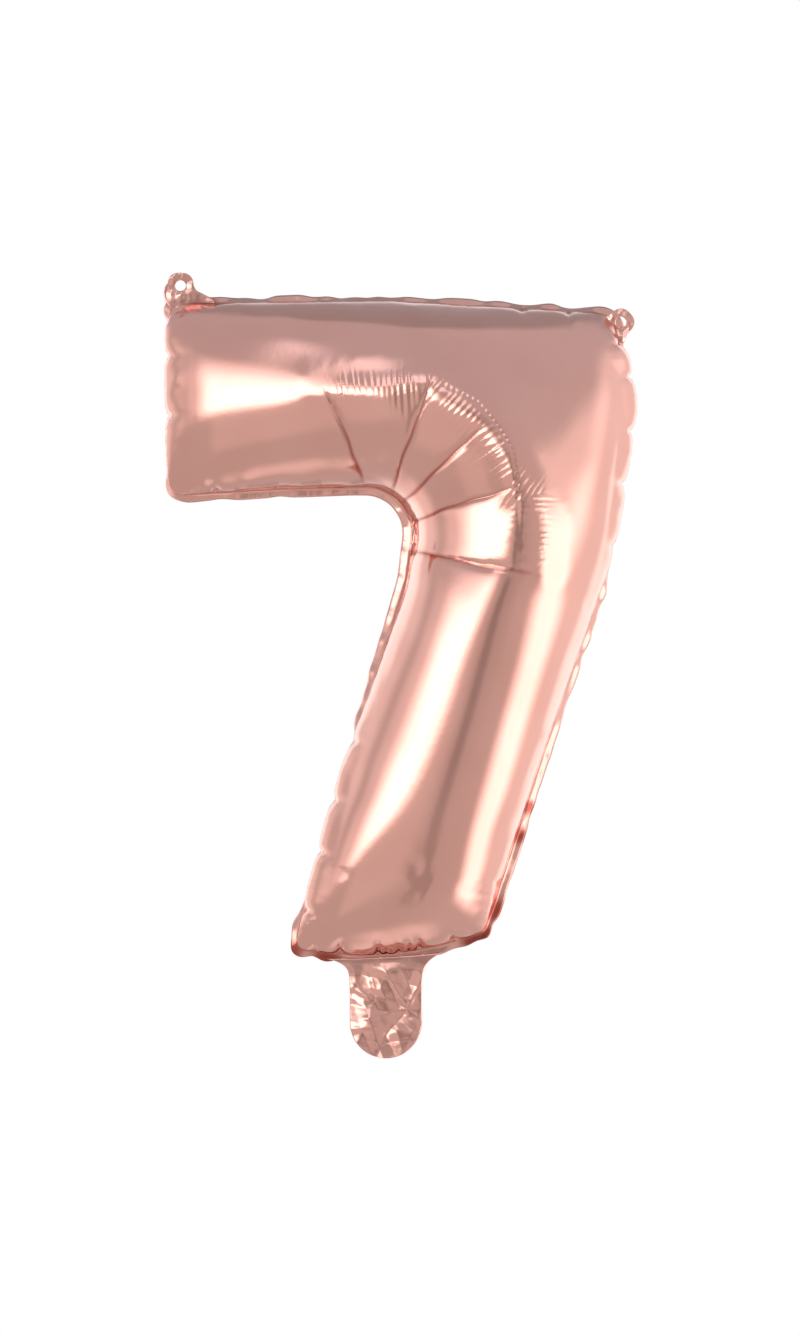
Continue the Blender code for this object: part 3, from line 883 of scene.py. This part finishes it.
CROOK_MIDDLE = (125, -105)
CROOK_SPREAD = 90
BACK_FLANGE = FLANGE + 0.5
films = {}
for name, side, seed, width in (("front_film", -1, 10, FLANGE), ("back_film", 1, 40, BACK_FLANGE)):
    skin = np.vstack([triangles, flat_part])
    shell = half * (1, -side, 1)
    sheet = np.vstack([shell, rim + away * width / 2, rim + away * width])
    points = np.hstack([sheet, extra[:, None]])
    if side > 0:
        skin = skin[:, ::-1]
    for _ in range(2):
        points, skin = loop_divided(points, skin)
    place = points[:, [0, 2]]
    gap = points[:, 3]
    facing = normals_of(points, skin)

    # the seam's puckers and lobes
    near = np.where(gap < 22)[0]
    nearest = np.concatenate([
        np.linalg.norm(place[part][:, None] - weld_fine[None], axis=2).argmin(axis=1)
        for part in np.array_split(near, 20)])
    at = nearest * WELD_STEP
    drawn = np.zeros(len(near))
    for start, (_, _, depth, spread) in zip(pucker_at, PUCKERS):
        drawn = np.maximum(drawn, depth * np.exp(-np.abs(at - start) / spread))
    body = ease(gap[near], 0, 3)
    fade = body * np.exp(-gap[near] / 7.0)
    push = -drawn * fade - 0.12 * fade * (1 + wave(at, seed + 5, 9, 4))
    points[near, :3] += facing[near] * push[:, None]
    swell = round_seam(at, seam_at, [stop[3] for stop in SEAM_STOPS])
    lobe = np.maximum(swell - drawn, 0) * body * (1 - ease(gap[near], 4, 18))
    points[near[:, None], [0, 2]] += fine_away[nearest] * lobe[:, None]

    # the crook's creases and ripples, with painted shade in the crease valleys
    height = np.zeros(len(points))
    fold_shade = np.zeros(len(points))
    inside = gap > 1
    height[inside], fold_shade[inside] = crease_height(place[inside], seed)
    height[inside] += foot_and_edge_height(place[inside])
    crook = np.linalg.norm(place - np.array(CROOK_MIDDLE), axis=1) < CROOK_SPREAD
    chosen = crook & inside
    height[chosen] += ripple_height(place[chosen], seed + 3)
    points[:, :3] += facing * height[:, None]

    # painted shade along the weld line's own thin fold, at the puckers, and where the flange is folded
    # over on itself
    seam_fold_shade = 0.75 * np.exp(-((gap[near] - 0.3) / 0.7) ** 2)
    pucker_fold_shade = np.minimum(drawn / 2.2, 0.7) * np.exp(-np.abs(gap[near] - 1) / 1.6)
    fold_shade[near] = np.maximum(fold_shade[near], np.maximum(seam_fold_shade, pucker_fold_shade))
    on_flange = 1 - ease(gap[near], 0.0, 0.8)
    for x, z, reach in FLANGE_FOLD_SHADE:
        gone = np.linalg.norm(place[near] - (x, z), axis=1)
        fold_shade[near] = np.maximum(fold_shade[near], np.exp(-(gone / reach) ** 4) * on_flange)

    # the flange crinkles, more where it hangs free than beside the tabs and the tail
    free_edge = np.zeros(len(points))
    leaning = round_seam(at, seam_at, [abs(stop[2]) for stop in SEAM_STOPS])
    free_edge[near] = ease(-gap[near], 0, FLANGE) * np.clip(leaning / 20, 0.15, 1)
    seam_run = np.zeros(len(points))
    seam_run[near] = at
    films[name] = mesh_object(name, points[:, :3], skin, foil)
    # this attribute carries the painted shade of the creases and folds to the foil
    stored(films[name], "fold_painted_shade", fold_shade)
    stored(films[name], "free_edge", free_edge)
    stored(films[name], "seam_run", seam_run)
    with_nodes(films[name], flange_crimps, {**CRIMP_SIZES, "Foil": foil})
    thickened(films[name], 0.1, 1.0)
    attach(films[name], "balloon")
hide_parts("front_panel")
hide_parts("back_panel")

# ---------------------------------------------------------------------------------------------
# Hanging tabs: the two films run on past the flange into a round tab, welded flat and punched
# with a hole for a thread. They are thin and creased, less so where they leave the flange.
# ---------------------------------------------------------------------------------------------
TAB_HOLE = 2.75
TAB_STEPS = 120
TAB_RINGS = 16


def tab(name, node, hole, outward, corners, seed):
    """A punched tab between its hole and an outline given about the hole, with up outward."""
    outline = rounded_outline(corners)
    turns = np.unwrap(np.arctan2(outline[:, 1], outline[:, 0]))
    if turns[-1] < turns[0]:
        turns, outline = turns[::-1], outline[::-1]
    reach = np.linalg.norm(outline, axis=1)
    round_turns = np.linspace(0, 2 * math.pi, TAB_STEPS, endpoint=False)
    base = turns[0] + (round_turns - turns[0]) % (2 * math.pi)
    outer = np.interp(base, np.append(turns, turns[0] + 2 * math.pi), np.append(reach, reach[0]))
    rows = []
    for share in np.linspace(0, 1, TAB_RINGS):
        radius = TAB_HOLE + share * (outer - TAB_HOLE)
        rows.append(np.stack([radius * np.cos(round_turns), radius * np.sin(round_turns)], axis=1))
    flat = np.vstack(rows)
    faces = []
    for row in range(TAB_RINGS - 1):
        low, high = row * TAB_STEPS, (row + 1) * TAB_STEPS
        for step in range(TAB_STEPS):
            next_step = (step + 1) % TAB_STEPS
            faces.append((low + step, high + step, high + next_step, low + next_step))
    turn = math.radians(outward - 90)
    right = np.array((math.cos(turn), math.sin(turn)))
    up = np.array((-math.sin(turn), math.cos(turn)))
    place = np.array(hole) + flat[:, :1] * right + flat[:, 1:] * up
    loose = ease(flat[:, 1], -8.5, -3.0)
    depth = 1.5 * crumpled(flat, seed, 11.0, 5) + 0.3 * crumpled(flat, seed + 1, 4.0, 4)
    depth *= 0.3 + 0.7 * loose
    points = np.stack([place[:, 0], depth - 0.1, place[:, 1]], axis=1)
    thing = mesh_object(name, points, faces, foil)
    thickened(thing, 0.22, 0.0)
    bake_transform(thing)
    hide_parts(node)


tab("left_tab_film", "left_hanging_tab", (0, 0), 90, [
    (-6.2, 6.6, 5.5), (6.2, 6.6, 5.5), (7.0, -2.5, 6),
    (17.5, -6.8, 2), (17.0, -9.4, 0.6), (-7.2, -9.4, 0.6),
], 21)
tab("right_tab_film", "right_hanging_tab", (224.644, -18.586), 43.3, [
    (-6.4, 6.6, 5.6), (6.4, 6.6, 5.6), (6.6, -2.2, 4), (9.5, -7.2, 1), (-9.5, -7.2, 1), (-6.6, -2.2, 4),
], 33)

# ---------------------------------------------------------------------------------------------
# Valve tail: the films run on below the seam as a narrow filling neck with a round end. Nothing
# fills it once the gas is in, so it hangs limp and crumpled.
# ---------------------------------------------------------------------------------------------
TAIL_MIDDLE = 104.8
TAIL_TOP = -343.2
TAIL_END = -394.0
TAIL_ROUND = 18.4


def tail_edges(z):
    """The tail's edges at one height, and how far its right end follows the seam upwards."""
    flare = math.exp((z - TAIL_TOP) / 2.6)
    below = min(0.0, z - (TAIL_END + TAIL_ROUND))
    half_width = math.sqrt(max(0.04, TAIL_ROUND ** 2 - below ** 2))
    left = TAIL_MIDDLE - half_width - 12 * flare
    right = TAIL_MIDDLE + half_width + 10 * flare
    return left, right, 3.2 * flare


# the tail's ridges and valleys, from x, z to x, z, with their height and how wide they spread
TAIL_FOLDS = [
    (102, -345, 116, -369, 1.3, 2.4), (116, -369, 88, -357, -1.1, 3.0),
    (116, -369, 122, -355, 0.9, 2.0), (116, -369, 93, -374, 0.9, 2.2),
    (116, -369, 103, -384, -0.9, 2.6), (116, -369, 123, -376, -0.7, 2.0),
    (88, -357, 97, -364, 0.8, 1.8), (88, -379, 106, -377, 0.8, 2.2),
    (90, -384, 112, -388, 0.45, 1.2), (95, -388, 118, -384, -0.4, 1.2),
    (96, -348, 99, -360, 0.5, 1.6), (112, -347, 117, -358, -0.6, 1.8),
]


def tail_creases(flat):
    """The crumple that the tail's four films share: folds that meet in a star, and small wrinkles."""
    limp = ease(-flat[:, 1], -TAIL_TOP + 1, -TAIL_TOP + 9)
    across = (flat[:, 0] - TAIL_MIDDLE) / TAIL_ROUND
    height = 1.6 * across ** 2 + 1.1 * crumpled(flat, 8, 24.0, 5) + 0.2 * crumpled(flat, 15, 7.0, 5)
    for x0, z0, x1, z1, rise, spread in TAIL_FOLDS:
        share, aside = along_line(flat, (x0, z0), (x1, z1))
        held = ease(share, -0.25, 0.1) * (1 - ease(share, 0.8, 1.2))
        height -= rise * held * np.exp(-np.abs(aside) / spread)
    return limp * height


def strip(name, across, edges_at, heights, depth_of, material):
    """A sheet between two edges, row by row."""
    flat = []
    for z in heights:
        left, right, rise = edges_at(z)
        for share in np.linspace(0, 1, across + 1):
            flat.append((left + share * (right - left), z + rise * share ** 2))
    flat = np.array(flat)
    faces = []
    for row in range(len(heights) - 1):
        for step in range(across):
            low = row * (across + 1) + step
            high = low + across + 1
            faces.append((low, high, high + 1, low + 1))
    points = np.stack([flat[:, 0], depth_of(flat), flat[:, 1]], axis=1)
    return mesh_object(name, points, faces, material)


# rows that draw closer together over the last four millimetres, where the end is round
long_rows = np.linspace(TAIL_TOP, TAIL_END + 4, 84)
end_rows = TAIL_END + 4 * (1 - np.linspace(0, 1, 12)[1:]) ** 2
tail_rows = np.concatenate([long_rows, end_rows])


def ply_depth(flat, side, seed):
    """How far forward or back a ply lies: the plies part a little below the seam."""
    parted = 0.3 + 0.4 * ease(-flat[:, 1], -TAIL_TOP, -TAIL_TOP + 8)
    return tail_creases(flat) + side * parted + 0.12 * crumpled(flat, seed, 6.0)


for name, node, side, seed in (
    ("tail_front_film", "tail_front_ply", -1, 2),
    ("tail_back_film", "tail_back_ply", 1, 3),
):
    ply = strip(name, 56, tail_edges, tail_rows, lambda flat: ply_depth(flat, side, seed), foil)
    thickened(ply, 0.1, 0.0)
    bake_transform(ply)
    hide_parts(node)

# ---------------------------------------------------------------------------------------------
# Filling valve: two clear polyethylene films inside the tail, welded along their sides, that
# run up into the body, where the gas presses them shut.
# ---------------------------------------------------------------------------------------------
VALVE_GAP = 0.25
clear = bpy.data.materials.new("clear_valve_film")
clear_shader = Tree(clear).tree.nodes["Principled BSDF"]
clear_shader.inputs["Base Color"].default_value = (0.86, 0.84, 0.82, 1)
clear_shader.inputs["Roughness"].default_value = 0.22
clear_shader.inputs["Transmission Weight"].default_value = 0.85
clear_shader.inputs["IOR"].default_value = 1.3


def valve_depth(flat, side, in_tail):
    """How far forward or back a valve film lies; in the tail it shares the tail's creases."""
    shared = tail_creases(flat) if in_tail else np.zeros(len(flat))
    return side * VALVE_GAP + shared


for name, node, body, side, top, bottom, half_width in (
    ("tail_valve_front", "tail_valve_front_film", "tail", -1, -350, -380, 12),
    ("tail_valve_back", "tail_valve_back_film", "tail", 1, -350, -380, 12),
    ("valve_leaf_front", "inner_valve_front_leaf", "valve_front", -1, -305, -340.6, 10.5),
    ("valve_leaf_back", "inner_valve_back_leaf", "valve_back", 1, -305, -340.6, 10.5),
):
    leaf = strip(
        name, 20, lambda z: (TAIL_MIDDLE - half_width, TAIL_MIDDLE + half_width, 0),
        np.linspace(top, bottom, 30), lambda flat: valve_depth(flat, side, body == "tail"), clear)
    thickened(leaf, 0.08, 0.0)
    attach(leaf, body)
    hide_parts(node)
